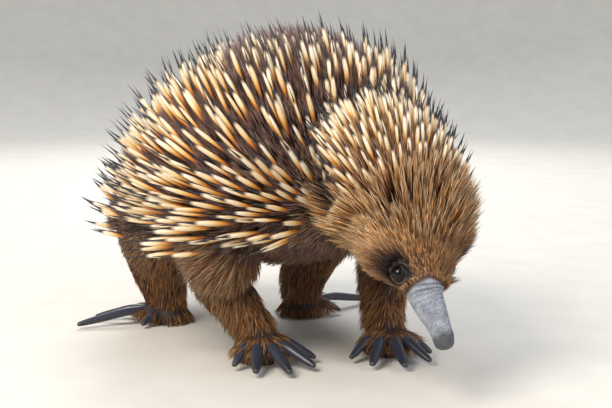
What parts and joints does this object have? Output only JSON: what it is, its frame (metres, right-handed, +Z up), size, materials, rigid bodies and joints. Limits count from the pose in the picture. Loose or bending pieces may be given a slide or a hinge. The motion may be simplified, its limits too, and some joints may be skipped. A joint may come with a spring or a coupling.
{
  "type": "short-beaked echidna",
  "caption": "Life-size still model of a short-beaked echidna in mid-step, its beak pointed at the ground, with spines over the back and long claws",
  "frame": {"origin": "centre of the bounding box on the floor, at the soles of the feet", "axes": "+X towards the head, +Y towards the animal's left, +Z up"},
  "size_m": [0.3248, 0.2288, 0.2093],
  "materials": {
    "spines": "satin spines, cream with dark tips, in dark brown fur",
    "hair": "coarse golden-brown hair",
    "beak_skin": "matte blue-grey bare skin",
    "bare_skin": "dark matte skin",
    "claw_horn": "smooth slate-black horn",
    "eye": "wet black"
  },
  "bodies": {
    "root": {"torso": "spines", "head": "hair", "beak": "beak_skin", "eye_right": "eye", "eye_left": "eye", "ear_right": "bare_skin", "ear_left": "bare_skin", "tail": "spines", "foreleg_right": "hair", "forefoot_right": "bare_skin", "claw_forefoot_right_1": "claw_horn", "claw_forefoot_right_2": "claw_horn", "claw_forefoot_right_3": "claw_horn", "claw_forefoot_right_4": "claw_horn", "claw_forefoot_right_5": "claw_horn", "foreleg_left": "hair", "forefoot_left": "bare_skin", "claw_forefoot_left_1": "claw_horn", "claw_forefoot_left_2": "claw_horn", "claw_forefoot_left_3": "claw_horn", "claw_forefoot_left_4": "claw_horn", "claw_forefoot_left_5": "claw_horn", "hindleg_right": "hair", "hindfoot_right": "bare_skin", "claw_hindfoot_right_1": "claw_horn", "claw_hindfoot_right_2": "claw_horn", "claw_hindfoot_right_3": "claw_horn", "claw_hindfoot_right_4": "claw_horn", "claw_hindfoot_right_5": "claw_horn", "hindleg_left": "hair", "hindfoot_left": "bare_skin", "claw_hindfoot_left_1": "claw_horn", "claw_hindfoot_left_2": "claw_horn", "claw_hindfoot_left_3": "claw_horn", "claw_hindfoot_left_4": "claw_horn", "claw_hindfoot_left_5": "claw_horn"}
  },
  "joints": []
}
